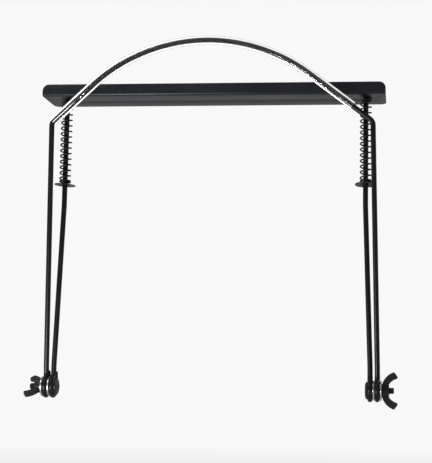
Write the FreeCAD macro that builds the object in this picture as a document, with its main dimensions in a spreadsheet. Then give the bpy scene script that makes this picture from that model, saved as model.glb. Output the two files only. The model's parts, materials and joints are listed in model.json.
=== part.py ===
"""Neck holder for a harmonica: a bent-rod yoke that hangs on the neck, two arms hinged to it on
bolts with wing nuts, and a pair of sheet-metal jaws that two springs press together.

Frame, in millimetres: +Z runs up along the arms, +X to the wearer's side with the longer tube
clearance, and -Y towards the yoke. The origin is where the neck lies: the inner side of the soft
tube, at the middle of the yoke's arc.
"""
import FreeCAD, Part
import math
import os
import Sketcher
from FreeCAD import Placement, Rotation, Vector

DRIVING_SIZES = [
    ("rod_dia", 3.2, "bent steel rod of the yoke and the arms"),
    ("eye_radius", 5.3, "hinge eye, to the middle of the rod"),
    ("kink_radius", 4.0, "bend between a shank and its eye, to the middle of the rod"),
    ("tail_rise", 9.0, "end of the eye's tail above the hinge axis"),
    ("tail_gap", 0.3, "gap between the tail and the shank"),
    ("shank_straight", 5.0, "straight shank above the kink, before the rod leans"),
    ("soft_bend", 30.0, "radius where a rod changes its lean by a degree or two"),
    ("yoke_lean", 6.2, "degrees between the yoke's plane and the arms"),
    ("yoke_side", 160.8, "hinge axis to the corner of the yoke, along its side"),
    ("yoke_corner_x", 98.05, "corner of the yoke from the middle"),
    ("left_corner", 3.0, "bend at the yoke's left corner, to the middle of the rod"),
    ("right_corner", 4.5, "bend at the yoke's right corner, to the middle of the rod"),
    ("left_flank", 42.1, "degrees by which the arc's straight left flank rises"),
    ("right_flank", 37.1, "degrees by which the arc's straight right flank rises"),
    ("crown_radius", 102.8, "round top of the arc"),
    ("tube_wall", 0.5, "soft tube's wall"),
    ("tube_play", 0.5, "between the soft tube and the rod, if they lay on one line"),
    ("tube_rest", 0.1, "between the soft tube and the rod, where it rests on the rod"),
    ("tube_left", 1.6, "bare rod between the left corner and the tube"),
    ("tube_right", 15.5, "bare rod between the right corner and the tube"),
    ("arm_eye_x", 96.5, "arm's eye from the middle"),
    ("arm_top_x", 93.3, "upper, upright stretch of an arm from the middle"),
    ("arm_upright_from", 112.0, "height above the hinge axis where an arm turns upright"),
    ("tenon_dia", 2.2, "thinned end of an arm, riveted in the upper jaw"),
    ("rivet_dia", 4.6, "riveted head of an arm"),
    ("rivet_rise", 1.0, "height of the riveted head"),
    ("jaw_length", 211.0, "lower jaw"),
    ("upper_jaw_inset", 4.5, "how much shorter the upper jaw is at each end"),
    ("jaw_sheet", 1.2, "sheet thickness of the jaws"),
    ("jaw_height", 177.5, "underside of the closed lower jaw above the hinge axis"),
    ("jaw_front", 14.5, "lower jaw's lip in front of the arms"),
    ("jaw_back", 17.0, "jaws' rear edge behind the arms"),
    ("lip_height", 7.4, "lower jaw's lip, from the underside of its leaf"),
    ("upper_lip_height", 5.6, "upper jaw's lip, from the top of its leaf"),
    ("lip_nesting", 0.6, "gap between the two lips"),
    ("jaw_rest_gap", 0.3, "gap between the upper lip and the lower leaf"),
    ("jaw_corner", 4.0, "rounded corners of the jaws"),
    ("fold_radius", 1.6, "outside of the jaws' fold"),
    ("fold_inside", 0.4, "inside of the jaws' fold"),
    ("guide_clearance", 0.3, "around an arm in the sliding jaw"),
    ("spring_seat", 124.6, "spring's lower end above the hinge axis"),
    ("spring_dia", 7.4, "spring, outside"),
    ("spring_wire", 1.0, "spring wire"),
    ("spring_turns", 15.0, "turns of each spring"),
    ("contact_gap", 0.05, "between pieces that lie against each other"),
    ("nut_disc_dia", 13.0, "push nut"),
    ("nut_disc_sheet", 0.6, "push nut's sheet"),
    ("nut_disc_dome", 0.9, "how far the push nut's middle stands above its rim"),
    ("nut_disc_flat", 1.2, "flat rim of the push nut"),
    ("slot_width", 0.8, "slots between the push nut's teeth"),
    ("slot_reach", 3.4, "slots' outer end from the rod's middle"),
    ("left_nut_tilt", 4.0, "degrees by which the left push nut sits askew, its inner side low"),
    ("right_nut_tilt", 5.0, "degrees by which the right push nut sits askew, its front high"),
    ("bolt_dia", 4.0, "hinge bolt"),
    ("bolt_length", 16.0, "hinge bolt under its head"),
    ("bolt_chamfer", 0.5, "hinge bolt's end"),
    ("head_dia", 10.4, "bolt head"),
    ("head_height", 1.4, "bolt head"),
    ("head_rim", 0.5, "upright rim of the bolt head"),
    ("drive_width", 1.0, "cross drive in the bolt head"),
    ("drive_length", 4.4, "cross drive in the bolt head"),
    ("drive_depth", 0.8, "cross drive in the bolt head"),
    ("washer_dia", 12.0, "hinge washers"),
    ("washer_play", 0.15, "around the bolt in a washer"),
    ("washer_sheet", 0.9, "hinge washers"),
    ("running_gap", 0.12, "between an eye and what it turns against"),
    ("nut_base_dia", 8.0, "wing nut's hub at its base"),
    ("nut_top_dia", 6.6, "wing nut's hub at its top"),
    ("nut_height", 4.4, "wing nut's hub"),
    ("thread_gap", 0.06, "around the bolt in the wing nut"),
    ("wing_span", 22.4, "tip to tip of the wings, at their lower edges"),
    ("wing_rise", 7.4, "lower edge of a wing's tip above the hub's base"),
    ("wing_end", 4.6, "width of a wing's square end"),
    ("wing_lean", 35.0, "degrees by which a wing's end leans in"),
    ("wing_outer_bend", 11.0, "radius of a wing's outer edge"),
    ("wing_inner_bend", 7.5, "radius of a wing's inner edge"),
    ("wing_thick", 2.4, "thickness of a wing"),
    ("wing_round", 0.9, "rounded corners of a wing's end"),
    ("left_nut_turn", 59.0, "degrees by which the left wing nut is turned"),
    ("right_nut_turn", 8.0, "degrees by which the right wing nut is turned"),
]

doc = FreeCAD.newDocument("harmonica_holder")
sheet = doc.addObject("Spreadsheet::Sheet", "Sizes")
for row, (alias, number, meaning) in enumerate(DRIVING_SIZES, start=1):
    sheet.set("A%d" % row, alias)
    sheet.set("B%d" % row, repr(number))
    sheet.setAlias("B%d" % row, alias)
    sheet.set("C%d" % row, meaning)
doc.recompute()

SIDES = (("left", -1), ("right", 1))
sub_parts = []


def cells(text):
    """Turn words that are aliases into references to the sheet."""
    for alias in sorted((entry[0] for entry in DRIVING_SIZES), key=len, reverse=True):
        text = text.replace("{%s}" % alias, "Sizes.%s" % alias)
    return text


def value(text):
    """The number that an expression over the sheet gives now."""
    result = sheet.evalExpression(cells(text))
    return float(getattr(result, "Value", result))


def bind(feature, prop, text):
    feature.setExpression(prop, cells(text))


def keep(feature, name):
    """Name a finished sub-part, which goes into a file of its own."""
    feature.Label = name
    sub_parts.append(feature)
    return feature


# Heights and places that several pieces share, as expressions over the sheet.
LEFT_SLOPE = "tan({left_flank} * 1 deg)"
RIGHT_SLOPE = "tan({right_flank} * 1 deg)"
MEET_X = ("({yoke_corner_x} * (%s - %s) / (%s + %s))"
          % (RIGHT_SLOPE, LEFT_SLOPE, LEFT_SLOPE, RIGHT_SLOPE))
MEET_RISE = "(%s * ({yoke_corner_x} + %s))" % (LEFT_SLOPE, MEET_X)
CROWN_DROP = "({crown_radius} / cos(({left_flank} + {right_flank}) / 2 * 1 deg))"
CROWN_LEAN = "(({left_flank} - {right_flank}) / 2 * 1 deg)"
CROWN_X = "(%s + %s * sin%s)" % (MEET_X, CROWN_DROP, CROWN_LEAN)
ARC_RISE = ("(%s - %s * cos%s + sqrt({crown_radius} ^ 2 - %s ^ 2))"
            % (MEET_RISE, CROWN_DROP, CROWN_LEAN, CROWN_X))
TUBE_BORE = "({rod_dia} + 2 * {tube_play})"
TUBE_DIA = "(%s + 2 * {tube_wall})" % TUBE_BORE
TUBE_SAG = "({tube_play} - {tube_rest})"
NECK_REACH = "({yoke_side} + %s - %s - %s / 2)" % (ARC_RISE, TUBE_SAG, TUBE_DIA)
AXIS_Y = "(%s * sin({yoke_lean} * 1 deg))" % NECK_REACH
AXIS_Z = "(-%s * cos({yoke_lean} * 1 deg))" % NECK_REACH
LEAF_TOP = "({jaw_height} + {jaw_sheet})"
UPPER_LEAF_TOP = "(%s + {jaw_rest_gap} + {upper_lip_height})" % LEAF_TOP
YOKE_EYE_X = "({arm_eye_x} + {rod_dia} + 2 * {running_gap} + {washer_sheet})"
OUTER_WASHER_X = "(%s + {rod_dia} / 2 + {running_gap})" % YOKE_EYE_X
WING_NUT_X = "(%s + {washer_sheet} + {contact_gap})" % OUTER_WASHER_X
HEAD_FACE_X = "({arm_eye_x} - {rod_dia} / 2 - {running_gap})"
INNER_WASHER_X = "({arm_eye_x} + {rod_dia} / 2 + {running_gap})"
NUT_BORE = "({rod_dia} / 2 + {contact_gap})"
NUT_RIM = "({nut_disc_dia} / 2 - {nut_disc_flat})"
SPRING_INNER = "({spring_dia} / 2 - {spring_wire})"
DOME_UNDER_SPRING = ("({nut_disc_dome} * (%s - %s) / (%s - %s))"
                     % (NUT_RIM, SPRING_INNER, NUT_RIM, NUT_BORE))
SPRING_FOOT = ("({spring_seat} + %s + {spring_dia} / 2 * sin({right_nut_tilt} * 1 deg))"
               % DOME_UNDER_SPRING)


def on_axis(height="0", x="0"):
    """A place at a given height above the hinge axis."""
    return Vector(value(x), value(AXIS_Y), value("%s + %s" % (AXIS_Z, height)))


def bind_place(feature, x, height):
    """Tie a feature's place to the hinge axis."""
    bind(feature, "Placement.Base.x", x)
    bind(feature, "Placement.Base.y", AXIS_Y)
    bind(feature, "Placement.Base.z", "%s + %s" % (AXIS_Z, height))


# ---------------------------------------------------------------- sketches

def body_with_name(name):
    return doc.addObject("PartDesign::Body", name)


def sketch_on(body, role, name):
    sketch = body.newObject("Sketcher::SketchObject", name)
    plane = next(item for item in body.Origin.OriginFeatures if item.Role == role)
    sketch.AttachmentSupport = [(plane, "")]
    sketch.MapMode = "FlatFace"
    return sketch


def fix_point(sketch, geometry, end, x, y):
    """Hold a point at coordinates given as expressions."""
    for kind, text, axis in (("DistanceX", x, -2), ("DistanceY", y, -1)):
        if text == "0":
            sketch.addConstraint(Sketcher.Constraint("PointOnObject", geometry, end, axis))
            continue
        index = sketch.addConstraint(
            Sketcher.Constraint(kind, -1, 1, geometry, end, value(text)))
        bind(sketch, "Constraints[%d]" % index, text)


def draw_outline(sketch, corners, bends=None):
    """A closed outline whose corners are pairs of expressions. bends gives, for the side after
    a corner, an arc's radius and whether it turns left."""
    bends = bends or {}
    points = [Vector(value(x), value(y), 0) for x, y in corners]
    first = sketch.GeometryCount
    count = len(points)
    ends = []
    for i, start in enumerate(points):
        stop = points[(i + 1) % count]
        if i not in bends:
            sketch.addGeometry(Part.LineSegment(start, stop), False)
            ends.append((1, 2))
            continue
        radius, turns_left = bends[i]
        low, high = (start, stop) if turns_left else (stop, start)
        sketch.addGeometry(short_arc(low, high, value(radius)), False)
        ends.append((1, 2) if turns_left else (2, 1))
    for i in range(count):
        after = (i + 1) % count
        sketch.addConstraint(Sketcher.Constraint(
            "Coincident", first + i, ends[i][1], first + after, ends[after][0]))
    for i, (x, y) in enumerate(corners):
        fix_point(sketch, first + i, ends[i][0], x, y)
    for i, (radius, _) in bends.items():
        size = sketch.addConstraint(Sketcher.Constraint("Radius", first + i, value(radius)))
        bind(sketch, "Constraints[%d]" % size, radius)


def short_arc(start, stop, radius):
    """The shorter arc from start to stop that turns to the left."""
    chord = stop - start
    across = Vector(-chord.y, chord.x, 0).normalize()
    centre = start + chord * 0.5 + across * math.sqrt(radius ** 2 - chord.Length ** 2 / 4)
    angles = [math.atan2(point.y - centre.y, point.x - centre.x) for point in (start, stop)]
    circle = Part.Circle(centre, Vector(0, 0, 1), radius)
    return Part.ArcOfCircle(circle, angles[0], angles[1])


def draw_circle(sketch, diameter, x="0", y="0"):
    centre = Vector(value(x), value(y), 0)
    circle = Part.Circle(centre, Vector(0, 0, 1), value(diameter) / 2)
    index = sketch.addGeometry(circle, False)
    fix_point(sketch, index, 3, x, y)
    size = sketch.addConstraint(Sketcher.Constraint("Diameter", index, value(diameter)))
    bind(sketch, "Constraints[%d]" % size, diameter)


def pad(body, sketch, name, length, midplane=False, reverse=False):
    feature = body.newObject("PartDesign::Pad", name)
    feature.Profile = sketch
    bind(feature, "Length", length)
    feature.Midplane = midplane
    feature.Reversed = reverse
    return feature


def pocket_through(body, sketch, name):
    """Cut a sketch through everything on both sides of its plane."""
    before = body.Shape.Volume
    feature = body.newObject("PartDesign::Pocket", name)
    feature.Profile = sketch
    feature.Type = "ThroughAll"
    feature.Midplane = True
    doc.recompute()
    if body.Shape.Volume >= before:
        raise ValueError("%s cuts nothing" % name)
    return feature


def revolve(body, sketch, name):
    """Turn a sketch a full turn about its own upright axis."""
    feature = body.newObject("PartDesign::Revolution", name)
    feature.Profile = sketch
    feature.ReferenceAxis = (sketch, ["V_Axis"])
    feature.Angle = 360
    doc.recompute()
    return feature


def round_edges(body, name, radius, wanted):
    """Fillet the edges that the test picks."""
    doc.recompute()
    base = body.Tip
    names = ["Edge%d" % (i + 1) for i, edge in enumerate(base.Shape.Edges) if wanted(edge)]
    if not names:
        raise ValueError("%s finds no edge" % name)
    feature = body.newObject("PartDesign::Fillet", name)
    feature.Base = (base, names)
    bind(feature, "Radius", radius)
    doc.recompute()
    return feature


# ---------------------------------------------------------------- bent rods

def rounded_path(points, radii):
    """Straight runs through the points, joined at the inner points by tangent arcs."""
    edges = []
    start = points[0]
    for before, corner, after, radius in zip(points, points[1:], points[2:], radii):
        towards = (before - corner).normalize()
        onwards = (after - corner).normalize()
        half = towards.getAngle(onwards) / 2
        setback = radius / math.tan(half)
        middle = (towards + onwards).normalize() * (radius / math.sin(half) - radius)
        first = corner + towards * setback
        last = corner + onwards * setback
        edges.append(Part.LineSegment(start, first).toShape())
        edges.append(Part.Arc(first, corner + middle, last).toShape())
        start = last
    edges.append(Part.LineSegment(start, points[-1]).toShape())
    return edges


def eye_top():
    """Height above the hinge axis where the shank meets the kink."""
    loop = value("{eye_radius}")
    return math.sqrt(loop ** 2 + 2 * loop * value("{kink_radius}"))


def eye_edges(x):
    """Tail, loop and kink of an eye whose plane is square to X, tail on the +Y side."""
    loop = value("{eye_radius}")
    kink = value("{kink_radius}")
    top = eye_top()

    def on_loop(angle):
        return Vector(x, loop * math.cos(angle), loop * math.sin(angle))

    tail = Vector(x, value("{rod_dia} + {tail_gap}"), value("{tail_rise}"))
    far = math.hypot(tail.y, tail.z)
    tail_angle = math.atan2(tail.z, tail.y) - math.acos(loop / far)
    kink_angle = math.atan2(top, -kink)
    below = (tail_angle + kink_angle - 2 * math.pi) / 2
    half_kink = (kink_angle - math.pi) / 2
    kink_middle = Vector(x, -kink + kink * math.cos(half_kink), top + kink * math.sin(half_kink))
    shank = Vector(x, 0, top)
    return [Part.LineSegment(tail, on_loop(tail_angle)).toShape(),
            Part.Arc(on_loop(tail_angle), on_loop(below), on_loop(kink_angle)).toShape(),
            Part.Arc(on_loop(kink_angle), kink_middle, shank).toShape()]


def swept(name, edges, diameter, placement):
    """A round bar along a path."""
    wire = Part.Wire(Part.__sortEdges__(edges))
    path = doc.addObject("Part::Feature", name + "_path")
    path.Shape = wire
    path.Placement = placement
    first = wire.OrderedEdges[0]
    begin = wire.OrderedVertexes[0].Point
    other = first.valueAt(first.LastParameter)
    if begin.distanceToPoint(other) < 1e-6:
        heading = first.tangentAt(first.LastParameter) * -1
    else:
        heading = first.tangentAt(first.FirstParameter)
    section = doc.addObject("Part::Circle", name + "_section")
    bind(section, "Radius", "%s / 2" % diameter)
    upright = Rotation(Vector(0, 0, 1), heading)
    section.Placement = placement.multiply(Placement(begin, upright))
    bar = doc.addObject("Part::Sweep", name)
    bar.Sections = [section]
    bar.Spine = (path, ["Edge%d" % (i + 1) for i in range(len(wire.Edges))])
    bar.Solid = True
    bar.Frenet = False
    return bar


def yoke_placement(drop=0.0):
    """The yoke's own plane, turned from the arms' plane about the hinge axis."""
    turn = Rotation(Vector(1, 0, 0), value("{yoke_lean}"))
    return Placement(on_axis() + turn.multVec(Vector(0, 0, -drop)), turn)


def flank_point(side, along):
    """A point on the arc's flank, measured from the yoke's corner."""
    angle = math.radians(value("{left_flank}" if side < 0 else "{right_flank}"))
    corner_x = value("{yoke_corner_x}") - along * math.cos(angle)
    return Vector(side * corner_x, 0, value("{yoke_side}") + along * math.sin(angle))


def flanks_meet():
    """Where the two straight flanks would meet above the round crown."""
    return Vector(value(MEET_X), 0, value("{yoke_side} + %s" % MEET_RISE))


def make_yoke_rod():
    """One rod from eye to eye: two sides, two corners and the arc over the neck."""
    x = value(YOKE_EYE_X)
    low = eye_top()
    leave = low + value("{shank_straight}")
    bend = value("{soft_bend}")
    points = [Vector(-x, 0, low), Vector(-x, 0, leave), flank_point(-1, 0), flanks_meet(),
              flank_point(1, 0), Vector(x, 0, leave), Vector(x, 0, low)]
    edges = eye_edges(-x) + eye_edges(x)
    edges += rounded_path(points, [bend, value("{left_corner}"), value("{crown_radius}"),
                                   value("{right_corner}"), bend])
    keep(swept("yoke_bar", edges, "{rod_dia}", yoke_placement()), "yoke_rod")


def make_neck_tube():
    """Soft tube threaded over the arc; it hangs a little below the rod."""
    ends = [flank_point(-1, value("{tube_left}")), flanks_meet(),
            flank_point(1, value("{tube_right}"))]
    place = yoke_placement(value(TUBE_SAG))
    edges = rounded_path(ends, [value("{crown_radius}")])
    outside = swept("tube_outside", edges, TUBE_DIA, place)
    bore = swept("tube_bore", edges, TUBE_BORE, place)
    tube = doc.addObject("Part::Cut", "tube")
    tube.Base = outside
    tube.Tool = bore
    keep(tube, "neck_tube")


def make_arm_rods():
    """Two rods from their eyes to the upper jaw, each thinned and riveted at its top."""
    eye_x = value("{arm_eye_x}")
    top_x = value("{arm_top_x}")
    low = eye_top()
    shoulder = "(%s - {jaw_sheet} - {contact_gap})" % UPPER_LEAF_TOP
    for side_name, side in SIDES:
        points = [Vector(side * eye_x, 0, low),
                  Vector(side * eye_x, 0, low + value("{shank_straight}")),
                  Vector(side * top_x, 0, value("{arm_upright_from}")),
                  Vector(side * top_x, 0, value(shoulder))]
        bends = [value("{soft_bend}")] * 2
        edges = eye_edges(side * eye_x) + rounded_path(points, bends)
        bar = swept(side_name + "_arm_bar", edges, "{rod_dia}", Placement(on_axis(), Rotation()))
        tenon = doc.addObject("Part::Cylinder", side_name + "_tenon")
        bind(tenon, "Radius", "{tenon_dia} / 2")
        bind(tenon, "Height", "{jaw_sheet} + 3 * {contact_gap}")
        bind_place(tenon, "%d * {arm_top_x}" % side, shoulder)
        rivet = doc.addObject("Part::Cone", side_name + "_rivet")
        bind(rivet, "Radius1", "{rivet_dia} / 2")
        bind(rivet, "Radius2", "{tenon_dia} / 2")
        bind(rivet, "Height", "{rivet_rise}")
        bind_place(rivet, "%d * {arm_top_x}" % side, "%s + {contact_gap}" % UPPER_LEAF_TOP)
        arm = doc.addObject("Part::MultiFuse", side_name + "_arm")
        arm.Shapes = [bar, tenon, rivet]
        keep(arm, side_name + "_arm_rod")


# ---------------------------------------------------------------- jaws

def make_jaw(name, half, front, rise, lip, hole, height):
    """An angle of folded sheet. Its leaf lies in its own XY plane; rise is 1 where the lip stands
    up from the leaf's underside and -1 where it hangs from the leaf's top."""
    body = body_with_name(name)
    inset = "%s - {jaw_corner}" % half
    leaf = sketch_on(body, "XY_Plane", name + "_leaf_outline")
    draw_outline(leaf, [("-(%s)" % half, "-(%s)" % front), (half, "-(%s)" % front),
                        (half, "{jaw_back}"), ("-(%s)" % half, "{jaw_back}")])
    pad(body, leaf, name + "_leaf", "{jaw_sheet}", reverse=(rise < 0))
    stand = sketch_on(body, "XZ_Plane", name + "_lip_outline")
    stand.AttachmentOffset = Placement(Vector(0, 0, value(front)), Rotation())
    bind(stand, "AttachmentOffset.Base.z", front)
    draw_outline(stand, [("-(%s)" % half, "0"), (half, "0"),
                         (half, "%d * %s" % (rise, lip)), ("-(%s)" % half, "%d * %s" % (rise, lip))])
    pad(body, stand, name + "_lip", "{jaw_sheet}", reverse=True)
    doc.recompute()
    front_y = -value(front)
    lip_z = rise * value(lip)
    back_y = value("{jaw_back}")
    sheet_now = value("{jaw_sheet}")

    def at_corner(edge):
        box = edge.BoundBox
        on_lip = box.YLength > sheet_now / 2 and abs(box.Center.z - lip_z) < 1e-4
        on_back = box.ZLength > sheet_now / 2 and abs(box.Center.y - back_y) < 1e-4
        return box.XLength < 1e-4 and (on_lip or on_back)

    def along(y, z):
        def test(edge):
            box = edge.BoundBox
            near = abs(box.Center.y - y) < 1e-4 and abs(box.Center.z - z) < 1e-4
            return near and box.XLength > value(inset)
        return test

    round_edges(body, name + "_corners", "{jaw_corner}", at_corner)
    round_edges(body, name + "_fold", "{fold_radius}", along(front_y, 0))
    inner = along(front_y + sheet_now, rise * sheet_now)
    round_edges(body, name + "_fold_inside", "{fold_inside}", inner)
    holes = sketch_on(body, "XY_Plane", name + "_rod_holes")
    for _, side in SIDES:
        draw_circle(holes, hole, "%d * {arm_top_x}" % side)
    pocket_through(body, holes, name + "_holes")
    bind_place(body, "0", height)
    return keep(body, name)


def make_jaws():
    """The lower jaw slides on the arms; the upper one is riveted to them, its lip inside."""
    make_jaw("lower_jaw", "{jaw_length} / 2", "{jaw_front}", 1, "{lip_height}",
             "({rod_dia} + 2 * {guide_clearance})", "{jaw_height}")
    make_jaw("upper_jaw", "({jaw_length} / 2 - {upper_jaw_inset})",
             "({jaw_front} - {jaw_sheet} - {lip_nesting})", -1, "{upper_lip_height}", "({tenon_dia} + 2 * {contact_gap})", UPPER_LEAF_TOP)


# ---------------------------------------------------------------- springs and their seats

def make_springs():
    """A compression spring around each arm, from its push nut's dome to the lower jaw."""
    foot = "(%s + {spring_wire} / 2)" % SPRING_FOOT
    length = "({jaw_height} - %s - {spring_wire} - {contact_gap})" % SPRING_FOOT
    for side_name, side in SIDES:
        helix = doc.addObject("Part::Helix", side_name + "_coil_path")
        bind(helix, "Radius", "({spring_dia} - {spring_wire}) / 2")
        bind(helix, "Pitch", "%s / {spring_turns}" % length)
        bind(helix, "Height", length)
        bind_place(helix, "%d * {arm_top_x}" % side, foot)
        wire = doc.addObject("Part::Circle", side_name + "_coil_wire")
        bind(wire, "Radius", "{spring_wire} / 2")
        bind_place(wire, "%d * {arm_top_x} + ({spring_dia} - {spring_wire}) / 2" % side, foot)
        wire.Placement.Rotation = Rotation(Vector(1, 0, 0), 90)
        coil = doc.addObject("Part::Sweep", side_name + "_coil")
        coil.Sections = [wire]
        doc.recompute()
        coil.Spine = (helix, ["Edge%d" % (i + 1) for i in range(len(helix.Shape.Edges))])
        coil.Solid = True
        coil.Frenet = True
        keep(coil, side_name + "_spring")


def make_push_nuts():
    """Domed push nut pressed on each arm, a little askew: its slotted teeth grip the rod."""
    tilts = {"left": Rotation(Vector(0, 1, 0), value("{left_nut_tilt}")),
             "right": Rotation(Vector(1, 0, 0), -value("{right_nut_tilt}"))}
    for side_name, side in SIDES:
        name = side_name + "_push_nut"
        body = body_with_name(name)
        profile = sketch_on(body, "XZ_Plane", name + "_profile")
        draw_outline(profile, [(NUT_BORE, "{nut_disc_dome} - {nut_disc_sheet}"),
                               (NUT_RIM, "-{nut_disc_sheet}"),
                               ("{nut_disc_dia} / 2", "-{nut_disc_sheet}"),
                               ("{nut_disc_dia} / 2", "0"), (NUT_RIM, "0"),
                               (NUT_BORE, "{nut_disc_dome}")])
        revolve(body, profile, name + "_disc")
        slot = sketch_on(body, "XY_Plane", name + "_slot_outline")
        draw_outline(slot, [("0", "-{slot_width} / 2"), ("{slot_reach}", "-{slot_width} / 2"),
                            ("{slot_reach}", "{slot_width} / 2"), ("0", "{slot_width} / 2")])
        cut = pocket_through(body, slot, name + "_slot")
        teeth = body.newObject("PartDesign::PolarPattern", name + "_teeth")
        teeth.Originals = [cut]
        teeth.Axis = (slot, ["N_Axis"])
        teeth.Angle = 360
        teeth.Occurrences = 6
        body.Tip = teeth
        bind_place(body, "%d * {arm_top_x}" % side, "{spring_seat}")
        body.Placement.Rotation = tilts[side_name]
        keep(body, name)


# ---------------------------------------------------------------- hinge hardware

def outward(side, turn=0.0):
    """Rotation that points a piece's own +Z away from the middle of the holder."""
    return Rotation(Vector(0, 1, 0), 90 * side).multiply(Rotation(Vector(0, 0, 1), turn))


def make_bolts():
    """Round-headed bolt through both eyes of a hinge, its head on the inner side."""
    for side_name, side in SIDES:
        name = side_name + "_bolt"
        body = body_with_name(name)
        profile = sketch_on(body, "XZ_Plane", name + "_profile")
        draw_outline(profile, [("0", "-{head_height}"), ("{head_dia} * 0.32", "-{head_height} * 0.93"),
                               ("{head_dia} * 0.44", "-{head_height} * 0.66"),
                               ("{head_dia} / 2", "-{head_rim}"), ("{head_dia} / 2", "0"),
                               ("{bolt_dia} / 2", "0"),
                               ("{bolt_dia} / 2", "{bolt_length} - {bolt_chamfer}"),
                               ("{bolt_dia} / 2 - {bolt_chamfer}", "{bolt_length}"),
                               ("0", "{bolt_length}")])
        revolve(body, profile, name + "_turned")
        drive = sketch_on(body, "XY_Plane", name + "_drive_outline")
        drive.AttachmentOffset = Placement(Vector(0, 0, -value("{head_height}")), Rotation())
        bind(drive, "AttachmentOffset.Base.z", "-{head_height}")
        arm, waist = "{drive_length} / 2", "{drive_width} / 2"
        quarter = [(waist, arm), (waist, waist), (arm, waist)]
        cross = quarter + [(x, "-(%s)" % y) for x, y in reversed(quarter)]
        cross += [("-(%s)" % x, "-(%s)" % y) for x, y in quarter]
        cross += [("-(%s)" % x, y) for x, y in reversed(quarter)]
        draw_outline(drive, cross)
        before = body.Shape.Volume
        recess = body.newObject("PartDesign::Pocket", name + "_drive")
        recess.Profile = drive
        bind(recess, "Length", "{drive_depth}")
        recess.Reversed = True
        doc.recompute()
        if body.Shape.Volume >= before:
            raise ValueError("the drive of %s cuts nothing" % name)
        bind_place(body, "%d * %s" % (side, HEAD_FACE_X), "0")
        body.Placement.Rotation = outward(side)
        keep(body, name)


def make_washers():
    """Plain washers: one between the two eyes and one under the wing nut, on each side."""
    for side_name, side in SIDES:
        for role, x in (("inner", INNER_WASHER_X), ("outer", OUTER_WASHER_X)):
            name = "%s_%s_washer" % (side_name, role)
            body = body_with_name(name)
            ring = sketch_on(body, "XY_Plane", name + "_outline")
            draw_circle(ring, "{washer_dia}")
            draw_circle(ring, "({bolt_dia} + 2 * {washer_play})")
            pad(body, ring, name + "_ring", "{washer_sheet}")
            bind_place(body, "%d * %s" % (side, x), "0")
            body.Placement.Rotation = outward(side)
            keep(body, name)


def make_wing_nuts():
    """Wing nut: a tapered hub with a clear bore and two horn-shaped wings."""
    tip = ("{wing_span} / 2", "{wing_rise}")
    end = ("{wing_span} / 2 - {wing_end} * cos({wing_lean} * 1 deg)",
           "{wing_rise} + {wing_end} * sin({wing_lean} * 1 deg)")
    root = "{nut_top_dia} * 0.25"
    for side_name, side in SIDES:
        name = side_name + "_wing_nut"
        body = body_with_name(name)
        profile = sketch_on(body, "XZ_Plane", name + "_hub_profile")
        draw_outline(profile, [("0", "0"), ("{nut_base_dia} / 2", "0"),
                               ("{nut_base_dia} / 2", "{nut_height} * 0.3"),
                               ("{nut_top_dia} / 2", "{nut_height}"), ("0", "{nut_height}")])
        revolve(body, profile, name + "_hub")
        wings = sketch_on(body, "XZ_Plane", name + "_wing_outline")
        for flip in (1, -1):
            outline = [(root, "{nut_height} * 0.05"),
                       ("{nut_base_dia} / 2 - {contact_gap}", "{nut_height} * 0.05"), tip, end,
                       ("{nut_top_dia} / 2", "{nut_height} * 0.92"), (root, "{nut_height} * 0.92")]
            bends = {1: ("{wing_outer_bend}", flip > 0), 3: ("{wing_inner_bend}", flip < 0)}
            draw_outline(wings, [("%d * (%s)" % (flip, x), y) for x, y in outline], bends)
        pad(body, wings, name + "_wings", "{wing_thick}", midplane=True)
        doc.recompute()
        corners = [(value(x), value(y)) for x, y in (tip, end)]

        def at_tip(edge):
            box = edge.BoundBox
            across = box.YLength > value("{wing_thick}") / 2 and box.XLength + box.ZLength < 1e-4
            place = (abs(box.Center.x), box.Center.z)
            return across and any(math.dist(place, corner) < 1e-3 for corner in corners)

        round_edges(body, name + "_tips", "{wing_round}", at_tip)
        bore = sketch_on(body, "XY_Plane", name + "_bore_outline")
        draw_circle(bore, "({bolt_dia} + 2 * {thread_gap})")
        pocket_through(body, bore, name + "_bore")
        bind_place(body, "%d * %s" % (side, WING_NUT_X), "0")
        body.Placement.Rotation = outward(side, value("{%s_nut_turn}" % side_name))
        keep(body, name)


def check_model():
    """Stop before anything is written if a feature or a sub-part is not sound."""
    doc.recompute()
    for item in doc.Objects:
        if {"Invalid", "Error"} & set(item.State):
            raise ValueError("%s is %s" % (item.Name, item.State))
    for item in sub_parts:
        if item.Shape.isNull() or not item.Shape.isValid():
            raise ValueError("%s has no sound shape" % item.Label)
        if not item.Shape.Solids:
            raise ValueError("%s is not solid" % item.Label)


make_yoke_rod()
make_neck_tube()
make_arm_rods()
make_jaws()
make_springs()
make_push_nuts()
make_bolts()
make_washers()
make_wing_nuts()
check_model()

os.makedirs("parts", exist_ok=True)
for item in sub_parts:
    item.Shape.exportStep("parts/%s.step" % item.Label)
    print("%-20s %9.2f mm3" % (item.Label, item.Shape.Volume))
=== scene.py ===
"""Neck holder for a harmonica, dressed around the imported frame."""
import json
import math

import bpy
from mathutils import Matrix, Vector

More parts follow.
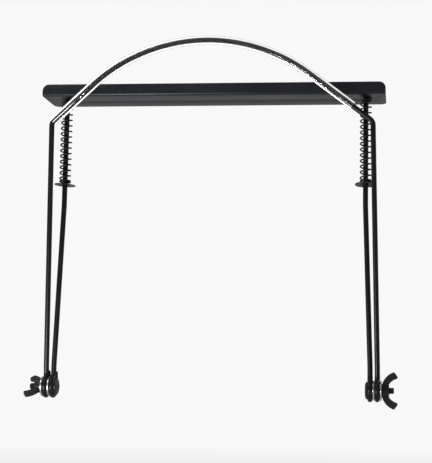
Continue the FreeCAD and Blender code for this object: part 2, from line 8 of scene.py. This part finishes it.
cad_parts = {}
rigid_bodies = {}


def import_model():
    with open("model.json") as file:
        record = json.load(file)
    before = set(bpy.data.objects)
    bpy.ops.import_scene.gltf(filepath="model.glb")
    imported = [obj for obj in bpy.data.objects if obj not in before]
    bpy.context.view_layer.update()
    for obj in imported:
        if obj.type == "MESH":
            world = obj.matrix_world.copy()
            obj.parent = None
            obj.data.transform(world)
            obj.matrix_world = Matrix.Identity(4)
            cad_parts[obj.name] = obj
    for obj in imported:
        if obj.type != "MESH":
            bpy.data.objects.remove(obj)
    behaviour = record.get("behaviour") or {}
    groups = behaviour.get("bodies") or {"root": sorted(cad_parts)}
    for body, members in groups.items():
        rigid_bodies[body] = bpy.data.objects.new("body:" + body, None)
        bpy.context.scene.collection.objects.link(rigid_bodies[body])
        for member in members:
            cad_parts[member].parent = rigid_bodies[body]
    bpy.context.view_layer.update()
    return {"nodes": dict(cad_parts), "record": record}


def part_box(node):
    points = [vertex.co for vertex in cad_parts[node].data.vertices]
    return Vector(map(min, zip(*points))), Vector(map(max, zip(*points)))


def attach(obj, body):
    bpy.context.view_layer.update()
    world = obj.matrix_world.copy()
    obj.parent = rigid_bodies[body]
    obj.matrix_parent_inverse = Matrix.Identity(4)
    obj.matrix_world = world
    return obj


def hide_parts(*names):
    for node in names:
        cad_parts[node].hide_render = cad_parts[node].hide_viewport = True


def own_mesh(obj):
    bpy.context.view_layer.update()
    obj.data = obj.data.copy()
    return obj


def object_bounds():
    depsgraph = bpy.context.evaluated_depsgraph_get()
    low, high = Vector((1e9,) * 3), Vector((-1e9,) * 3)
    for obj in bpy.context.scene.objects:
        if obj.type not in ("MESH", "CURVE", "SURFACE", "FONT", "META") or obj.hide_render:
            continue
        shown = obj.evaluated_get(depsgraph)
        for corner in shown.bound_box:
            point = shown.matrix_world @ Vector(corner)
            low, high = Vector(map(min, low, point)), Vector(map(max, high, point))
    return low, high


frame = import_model()
nodes = frame["nodes"]
joints = {joint["name"]: joint for joint in frame["record"]["behaviour"]["joints"]}
hinge = joints["arm_hinge"]["pos_m"]
for mesh_object in bpy.data.objects:
    mesh_object.select_set(False)

SIDES = (("left", -1), ("right", 1))


# ------------------------------------------------------------------ rods
# The yoke and the two arms are cold-bent steel rod with a satin black powder coat. The coat has
# a fine orange-peel skin. The real coat is rubbed shiny around the hinge eyes, where washers bear
# on it, but here a few fine rubs are scattered over the whole coat.

class Signal:
    """A socket of a node tree; arithmetic on it adds the Math nodes that work it out."""

    def __init__(self, finish, socket):
        self.finish = finish
        self.socket = socket

    def _math(self, operation, first, second):
        return self.finish.node("ShaderNodeMath", {"operation": operation}, {0: first, 1: second})

    def __add__(self, other):
        return self._math("ADD", self, other)

    def __radd__(self, other):
        return self._math("ADD", other, self)

    def __sub__(self, other):
        return self._math("SUBTRACT", self, other)

    def __mul__(self, other):
        return self._math("MULTIPLY", self, other)


class Shading:
    """A node tree, and short ways to add to it."""

    def __init__(self, tree):
        self.tree = tree

    def node(self, kind, settings=None, inputs=None, output=0):
        """Add a node: its settings first, then the values or links of its sockets."""
        made = self.tree.nodes.new(kind)
        for key, setting in (settings or {}).items():
            if key == "stops":
                set_stops(made.color_ramp, setting)
            else:
                setattr(made, key, setting)
        for key, source in (inputs or {}).items():
            if isinstance(source, Signal):
                self.tree.links.new(source.socket, made.inputs[key])
            else:
                made.inputs[key].default_value = source
        return Signal(self, made.outputs[output])

    def ramp(self, factor, *stops):
        return self.node("ShaderNodeValToRGB", {"stops": stops}, {0: factor})

    def mix(self, factor, first, second):
        """Mix two shaders by a factor."""
        return self.node("ShaderNodeMixShader", None, {0: factor, 1: first, 2: second})

    def show(self, shader, output):
        self.tree.links.new(shader.socket, self.tree.nodes[output].inputs["Surface"])


class Finish(Shading):
    """A material on one Principled surface."""

    def __init__(self, name, **constants):
        self.material = bpy.data.materials.new(name)
        self.material.use_nodes = True
        super().__init__(self.material.node_tree)
        self.surface = self.tree.nodes["Principled BSDF"]
        for socket, level in constants.items():
            self.surface.inputs[socket.replace("_", " ")].default_value = level

    def place(self, middle=(0, 0, 0), scale=(1, 1, 1)):
        """The surface point in metres from a middle, scaled along each axis."""
        point = self.node("ShaderNodeTexCoord", output="Object")
        return self.node("ShaderNodeMapping", {"vector_type": "POINT"}, {
            "Vector": point, "Scale": scale,
            "Location": tuple(-part * by for part, by in zip(middle, scale))})

    def noise(self, cells_per_metre, detail=2.0, roughness=0.5, stretch=(1, 1, 1)):
        scale = tuple(cells_per_metre * part for part in stretch)
        return self.node("ShaderNodeTexNoise", None, {
            "Vector": self.place(scale=scale), "Scale": 1.0, "Detail": detail,
            "Roughness": roughness})

    def blend(self, factor, first, second):
        """Mix two colours by a factor."""
        return self.node("ShaderNodeMix", {"data_type": "RGBA"}, {0: factor, 6: first, 7: second},
                         output=2)

    def drive(self, socket, signal):
        self.tree.links.new(signal.socket, self.surface.inputs[socket])

    def bump(self, height, distance):
        self.drive("Normal", self.node("ShaderNodeBump", None, {
            "Height": height, "Distance": distance, "Strength": 1.0}))


def set_stops(ramp, stops):
    """Stops are pairs of place and grey level."""
    while len(ramp.elements) < len(stops):
        ramp.elements.new(0.5)
    for element, (place, level) in zip(ramp.elements, stops):
        element.position = place
        element.color = (level, level, level, 1)


def coated_black(name, colour, worn_colour, gloss, peel, specular=0.4):
    """Satin black coat: orange peel, slow drifts of gloss and colour, and a few fine rubs."""
    coat = Finish(name, Specular_IOR_Level=specular)
    drift = coat.noise(45, 3.0)
    skin = coat.noise(1500, 2.0, 0.6)
    grit = coat.noise(5200, 1.0)
    scuffs = coat.ramp(coat.noise(420, 5.0, 0.72, (1.0, 1.0, 0.09)), (0.62, 0.0), (0.80, 1.0))
    coat.drive("Base Color", coat.blend(scuffs * 0.5, coat.blend(drift, colour, worn_colour),
                                        worn_colour))
    coat.drive("Roughness", gloss + (drift - 0.5) * 0.14 + (grit - 0.5) * 0.10 - scuffs * 0.08)
    coat.bump(skin + grit * 0.3, peel)
    return coat


def only(piece):
    """Select one piece and make it the active one."""
    bpy.ops.object.select_all(action="DESELECT")
    piece.select_set(True)
    bpy.context.view_layer.objects.active = piece


def copy_of(node, name):
    """A copy of a node's mesh, its loose triangles merged, to finish by hand."""
    mesh = nodes[node].data.copy()
    mesh.materials.clear()
    piece = bpy.data.objects.new(name, mesh)
    bpy.context.scene.collection.objects.link(piece)
    only(piece)
    bpy.ops.object.mode_set(mode="EDIT")
    bpy.ops.mesh.select_all(action="SELECT")
    bpy.ops.mesh.remove_doubles(threshold=2e-6)
    bpy.ops.mesh.dissolve_limited(angle_limit=math.radians(0.3))
    bpy.ops.object.mode_set(mode="OBJECT")
    return piece


def apply(piece, kind, **settings):
    """Add a modifier, set it and apply it."""
    only(piece)
    modifier = piece.modifiers.new(kind.lower(), kind)
    for key, setting in settings.items():
        setattr(modifier, key, setting)
    bpy.ops.object.modifier_apply(modifier=modifier.name)


def break_edges(piece, width):
    """Round the sharp edges of a piece a little."""
    apply(piece, "BEVEL", width=width, segments=2, limit_method="ANGLE",
          angle_limit=math.radians(40), use_clamp_overlap=True)


def finish_piece(piece, finish, body, slot, *replaced, smooth=35):
    """Smooth a piece, give it its finish, and say what it rides on and stands for."""
    only(piece)
    bpy.ops.object.shade_smooth_by_angle(angle=math.radians(smooth))
    piece.data.materials.clear()
    piece.data.materials.append(finish.material)
    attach(piece, body)
    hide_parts(*replaced)


ROD_BLACK = (0.0026, 0.0028, 0.0034, 1)
ROD_RUBBED = (0.007, 0.0073, 0.0085, 1)
rod_coat = coated_black("rod_coat", ROD_BLACK, ROD_RUBBED, 0.34, 0.000014, 0.24)
for rod, body in (("yoke_rod", "yoke"), ("left_arm_rod", "arms"), ("right_arm_rod", "arms")):
    finish_piece(copy_of(rod, rod.replace("rod", "bent_rod")), rod_coat, body, "coated_rod", rod,
                 smooth=50)


# ------------------------------------------------------------------ jaws
# Each jaw is an angle folded from steel sheet, with rounded corners, sprayed satin black with a
# faint blue cast. The lower one slides on the arms, and the upper one is riveted to them.

EDGE_BREAK = 0.00022
JAW_BLACK = (0.0050, 0.0060, 0.0092, 1)
JAW_RUBBED = (0.011, 0.0130, 0.0185, 1)
jaw_coat = coated_black("jaw_coat", JAW_BLACK, JAW_RUBBED, 0.38, 0.000018, 0.32)
for jaw, body in (("lower_jaw", "sliding_jaw"), ("upper_jaw", "arms")):
    folded = copy_of(jaw, jaw + "_sheet")
    break_edges(folded, EDGE_BREAK)
    finish_piece(folded, jaw_coat, body, "coated_sheet", jaw)


# ------------------------------------------------------------------ soft tube
# Clear vinyl tube, threaded over the arc so that the bare rod doesn't press on the neck. It hangs
# on the crown, but its ends spring outward, and its walls look milky where one sees along them.

END_SPRING = 0.00052
SPRING_FROM, SPRING_FULL = 0.022, 0.070
FLANK_SLOPE = math.radians(40)
neck_tube = copy_of("neck_tube", "soft_tube")
for vertex in neck_tube.data.vertices:
    reach = min(max((abs(vertex.co.x) - SPRING_FROM) / (SPRING_FULL - SPRING_FROM), 0.0), 1.0)
    outward = END_SPRING * reach * reach * (3 - 2 * reach)
    slope = math.copysign(FLANK_SLOPE, vertex.co.x)
    vertex.co.x += outward * math.sin(slope)
    vertex.co.z += outward * math.cos(slope)

vinyl = Finish("tube_vinyl", Base_Color=(0.97, 0.98, 0.98, 1), Roughness=0.08, IOR=1.46,
               Transmission_Weight=1.0)
MILK = (0.97, 0.975, 0.98, 1)
milk = vinyl.node("ShaderNodeBsdfDiffuse", None, {"Color": MILK})
along_wall = vinyl.node("ShaderNodeLayerWeight", None, {"Blend": 0.5}, output="Facing")
milkiness = vinyl.ramp(along_wall + (vinyl.noise(160, 2.0) - 0.5) * 0.04,
                       (0.17, 0.0), (0.26, 1.0), (0.56, 1.0), (0.70, 0.0))
vinyl.show(vinyl.mix(milkiness, Signal(vinyl, vinyl.surface.outputs[0]), milk), "Material Output")
finish_piece(neck_tube, vinyl, "yoke", "clear_tube", "neck_tube")


# ------------------------------------------------------------------ springs
# Springs of black-oxide music wire press the lower jaw up. Their end turns are closed and lie
# against the jaw above and the push nut below.

WIRE = 0.0010
TURNS = 16.2
CLOSED_TURNS = 1.2
STEPS_A_TURN = 28
JAW_TRAVEL = joints["jaw_slide"]["range_m"][1]
wire_oxide = coated_black("wire_oxide", (0.005, 0.0051, 0.0056, 1), (0.016, 0.016, 0.018, 1),
                          0.30, 0.000006, 0.35)


def coil_height(turn, free_height):
    """Height of the wire's middle after so many turns, with closed turns at both ends."""
    closed = CLOSED_TURNS * WIRE
    open_turns = TURNS - 2 * CLOSED_TURNS
    if turn < CLOSED_TURNS:
        return turn * WIRE
    if turn > TURNS - CLOSED_TURNS:
        return free_height - (TURNS - turn) * WIRE
    return closed + (turn - CLOSED_TURNS) * (free_height - 2 * closed) / open_turns


for side_name, side in SIDES:
    low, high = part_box(side_name + "_spring")
    middle_x, middle_y = (low[0] + high[0]) / 2, (low[1] + high[1]) / 2
    radius = (high[0] - low[0] - WIRE) / 2
    line = bpy.data.curves.new(side_name + "_coil", "CURVE")
    line.dimensions = "3D"
    line.bevel_depth = WIRE / 2
    line.bevel_resolution = 3
    line.use_fill_caps = True
    steps = int(TURNS * STEPS_A_TURN)
    turns = line.splines.new("POLY")
    turns.points.add(steps)
    for step, point in enumerate(turns.points):
        turn = step / STEPS_A_TURN
        angle = 2 * math.pi * turn
        point.co = (middle_x + radius * math.cos(angle), middle_y + radius * math.sin(angle),
                    low[2] + WIRE / 2 + coil_height(turn, high[2] - low[2] - WIRE), 1)
    coil = bpy.data.objects.new(side_name + "_coil", line)
    bpy.context.scene.collection.objects.link(coil)
    only(coil)
    bpy.ops.object.convert(target="MESH")
    coil = bpy.context.object
    finish_piece(coil, wire_oxide, "arms", "spring_wire", side_name + "_spring", smooth=60)
    rest_height = high[2] - low[2]
    (rest_height - JAW_TRAVEL) / rest_height
    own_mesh(coil)


# ------------------------------------------------------------------ push nuts
# A domed disc of spring steel is pressed on each arm under its spring, and its slotted teeth grip
# the rod. Both sit a few degrees askew, as they were pushed on.

DISC_EDGE = 0.0001
disc_oxide = coated_black("disc_oxide", (0.006, 0.006, 0.0068, 1), (0.020, 0.020, 0.022, 1),
                          0.34, 0.00001, 0.4)
for side_name, side in SIDES:
    disc = copy_of(side_name + "_push_nut", side_name + "_push_disc")
    break_edges(disc, DISC_EDGE)
    finish_piece(disc, disc_oxide, "arms", "black_fastener", side_name + "_push_nut")


# ------------------------------------------------------------------ hinge bolts
# A round-headed M4 bolt with a cross drive pins each hinge. It is black oxide, with rolled
# threads along the whole shank.

BOLT_RADIUS = 0.002
SHANK_LENGTH = 0.016
PITCH = 0.0007
THREAD_DEPTH = 0.00038
CREST, FLANK = 0.18, 0.70
TIP_CHAMFER, TIP_DEPTH = 0.0006, 0.0005
HEAD_CUT = 0.0002
HEAD_EDGE = 0.00012
RINGS_A_TURN = 10
SHANK_FACES = 40
bolt_oxide = coated_black("bolt_oxide", (0.006, 0.006, 0.007, 1), (0.022, 0.022, 0.025, 1), 0.33,
                          0.000008, 0.28)
for side_name, side in SIDES:
    low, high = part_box(side_name + "_bolt")
    tip_x = low[0] if side < 0 else high[0]
    head_x = tip_x - side * SHANK_LENGTH
    bpy.ops.mesh.primitive_cylinder_add(
        vertices=SHANK_FACES, radius=BOLT_RADIUS, depth=SHANK_LENGTH,
        location=((tip_x + head_x) / 2, hinge[1], hinge[2]), rotation=(0, math.pi / 2, 0))
    thread = bpy.context.object
    thread.name = side_name + "_bolt_thread"
    bpy.ops.object.transform_apply(location=True, rotation=True, scale=True)
    rings = int(SHANK_LENGTH / PITCH * RINGS_A_TURN)
    for ring in range(1, rings):
        bpy.ops.object.mode_set(mode="EDIT")
        bpy.ops.mesh.select_all(action="SELECT")
        bpy.ops.mesh.bisect(plane_co=(head_x + side * SHANK_LENGTH * ring / rings, 0, 0),
                            plane_no=(1, 0, 0))
        bpy.ops.object.mode_set(mode="OBJECT")
    for vertex in thread.data.vertices:
        along = side * (vertex.co.x - head_x)
        across, up = vertex.co.y - hinge[1], vertex.co.z - hinge[2]
        lead = (along / PITCH - side * math.atan2(up, across) / (2 * math.pi)) % 1.0
        groove = 1 - abs(2 * lead - 1)
        groove = min(max((groove - CREST) / FLANK, 0.0), 1.0)
        end = min(max((along - SHANK_LENGTH + TIP_CHAMFER) / TIP_CHAMFER, 0.0), 1.0)
        shrink = 1 - max(THREAD_DEPTH * groove, TIP_DEPTH * end) / BOLT_RADIUS
        vertex.co.y = hinge[1] + across * shrink
        vertex.co.z = hinge[2] + up * shrink
    finish_piece(thread, bolt_oxide, "yoke", "black_fastener", side_name + "_bolt", smooth=40)

    head = copy_of(side_name + "_bolt", side_name + "_bolt_head")
    bpy.ops.object.mode_set(mode="EDIT")
    bpy.ops.mesh.select_all(action="SELECT")
    bpy.ops.mesh.bisect(plane_co=(head_x + side * HEAD_CUT, 0, 0), plane_no=(side, 0, 0),
                        clear_outer=True, use_fill=True)
    bpy.ops.object.mode_set(mode="OBJECT")
    break_edges(head, HEAD_EDGE)
    finish_piece(head, bolt_oxide, "yoke", "black_fastener", side_name + "_bolt")


# ------------------------------------------------------------------ washers
# Two zinc-plated washers grip each pair of eyes. They are punched from sheet, so their edges are
# a little rounded, and faint turning marks run round their faces.

WASHER_EDGE = 0.00012
MARKS_A_METRE = 26000
zinc = Finish("bright_zinc", Metallic=1.0)
cloud = zinc.noise(700, 3.0)
about_bolt = zinc.node("ShaderNodeVectorMath", {"operation": "LENGTH"}, {
    0: zinc.place(middle=(0, hinge[1], hinge[2]), scale=(0, 1, 1))}, output="Value")
marks = zinc.noise(3500, 2.0) * 0.4 + zinc.node("ShaderNodeMath", {"operation": "SINE"},
                                                {0: about_bolt * MARKS_A_METRE}) * 0.12
zinc.drive("Base Color", zinc.blend(cloud, (0.66, 0.68, 0.72, 1), (0.86, 0.87, 0.88, 1)))
zinc.drive("Roughness", 0.20 + cloud * 0.18)
zinc.bump(marks, 0.000008)
for side_name, side in SIDES:
    for place, body in (("inner", "yoke"), ("outer", side_name + "_clamp")):
        node = "%s_%s_washer" % (side_name, place)
        ring = copy_of(node, node + "_ring")
        break_edges(ring, WASHER_EDGE)
        finish_piece(ring, zinc, body, "plated_washer", node)


# ------------------------------------------------------------------ wing nuts
# Each wing nut is cast, so its wings swell out of the hub in one piece, with soft edges and a
# slightly pebbled skin under the black oxide.

CAST_GRAIN = 0.00016
cast_oxide = coated_black("cast_oxide", (0.004, 0.004, 0.0046, 1), (0.014, 0.014, 0.016, 1), 0.32,
                          0.00003, 0.26)
for side_name, side in SIDES:
    wing = copy_of(side_name + "_wing_nut", side_name + "_cast_wings")
    apply(wing, "REMESH", mode="VOXEL", voxel_size=CAST_GRAIN, use_smooth_shade=True)
    apply(wing, "SMOOTH", factor=0.5, iterations=8)
    finish_piece(wing, cast_oxide, side_name + "_nut", "black_fastener", side_name + "_wing_nut",
                 smooth=60)


# ------------------------------------------------------------------ studio
# The holder hangs by its tube over a pale floor, in front of a white surround.

FLOOR_DROP = 0.085
WHITE = 0.94
ROOM = 0.85
FRONT_GLOSS, BACK_GLOSS = 0.15, 0.40

floor_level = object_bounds()[0][2] - FLOOR_DROP
bpy.ops.mesh.primitive_plane_add(size=60, location=(0, 0, floor_level))
floor = bpy.context.object
floor.name = "studio_floor"
paper = Finish("floor_paper", Roughness=0.9, Specular_IOR_Level=0.1)
paper.surface.inputs["Base Color"].default_value = (0.9, 0.9, 0.9, 1)
from_middle = paper.node("ShaderNodeVectorMath", {"operation": "LENGTH"}, {0: paper.place()},
                         output="Value")
seen_directly = paper.node("ShaderNodeLightPath", output="Is Camera Ray")
seen_in_gloss = paper.node("ShaderNodeLightPath", output="Is Glossy Ray")
glow = paper.node("ShaderNodeEmission", None, {"Color": (WHITE, WHITE, WHITE, 1)})
dim = paper.node("ShaderNodeEmission", None, {"Color": (BACK_GLOSS, BACK_GLOSS, BACK_GLOSS, 1)})
plain = paper.mix(paper.ramp(from_middle * 0.5, (0.3, 0.0), (0.65, 1.0)) * seen_directly,
                  Signal(paper, paper.surface.outputs[0]), glow)
paper.show(paper.mix(seen_in_gloss, plain, dim), "Material Output")
floor.data.materials.append(paper.material)

world = bpy.data.worlds.new("white_surround")
bpy.context.scene.world = world
world.use_nodes = True
world.cycles.sampling_method = "NONE"
sky = Shading(world.node_tree)
direction = sky.node("ShaderNodeTexCoord", output="Generated")
towards_back = sky.node("ShaderNodeSeparateXYZ", None, {0: direction}, output="Y")
gloss_level = sky.ramp(towards_back * 0.5 + 0.5, (0.25, FRONT_GLOSS), (0.8, BACK_GLOSS))
glossy = sky.node("ShaderNodeLightPath", output="Is Glossy Ray")
direct = sky.node("ShaderNodeMath", {"operation": "MAXIMUM"}, {
    0: sky.node("ShaderNodeLightPath", output="Is Camera Ray"),
    1: sky.node("ShaderNodeLightPath", output="Is Transmission Ray")})
lit = sky.node("ShaderNodeBackground", None, {"Color": (1, 1, 1, 1), "Strength": ROOM})
mirrored = sky.node("ShaderNodeBackground", None, {"Color": (1, 1, 1, 1),
                                                   "Strength": gloss_level})
seen = sky.node("ShaderNodeBackground", None, {"Color": (WHITE, WHITE, WHITE, 1)})
sky.show(sky.mix(direct, sky.mix(glossy, lit, mirrored), seen), "World Output")


def soft_box(name, place, target, size, power):
    bpy.ops.object.light_add(type="AREA", location=place)
    lamp = bpy.context.object
    lamp.name = name
    lamp.data.shape = "RECTANGLE"
    lamp.data.size, lamp.data.size_y = size
    lamp.data.energy = power
    lamp.rotation_euler = (Vector(target) - Vector(place)).to_track_quat("-Z", "Y").to_euler()


MIDDLE = (0.0, 0.02, -0.10)
soft_box("key_box", (-0.45, -0.40, 0.60), MIDDLE, (0.30, 0.30), 1.6)
soft_box("rim_box", (0.7, 0.55, 0.25), MIDDLE, (0.4, 0.7), 1.0)
soft_box("low_strip", (-0.19, -0.24, -0.275), (-0.08, 0.0, -0.03), (0.14, 0.03), 1.2)

# The camera looks up a little at the holder from below its jaws.
CAMERA_PLACE = (hinge[0] + 0.11569, hinge[1] - 0.78299, hinge[2] + 0.00286)
CAMERA_YAW, CAMERA_PITCH, CAMERA_ROLL = 0.0977, 0.1172, 0.0130
SENSOR, LENS, SHIFT = 36.0, 101.08, -0.1296

ahead = Vector((-math.sin(CAMERA_YAW) * math.cos(CAMERA_PITCH),
                math.cos(CAMERA_YAW) * math.cos(CAMERA_PITCH), math.sin(CAMERA_PITCH)))
level = Vector((math.cos(CAMERA_YAW), math.sin(CAMERA_YAW), 0))
upright = level.cross(ahead)
right_way = level * math.cos(CAMERA_ROLL) + upright * math.sin(CAMERA_ROLL)
up_way = upright * math.cos(CAMERA_ROLL) - level * math.sin(CAMERA_ROLL)
bpy.ops.object.camera_add(location=CAMERA_PLACE)
camera = bpy.context.object
camera.matrix_world = Matrix.Translation(CAMERA_PLACE) @ Matrix(
    (right_way, up_way, -ahead)).transposed().to_4x4()
camera.data.sensor_width = SENSOR
camera.data.lens = LENS
camera.data.shift_x = SHIFT
camera.data.clip_end = 200
bpy.context.scene.camera = camera
bpy.context.scene.view_settings.view_transform = "Standard"
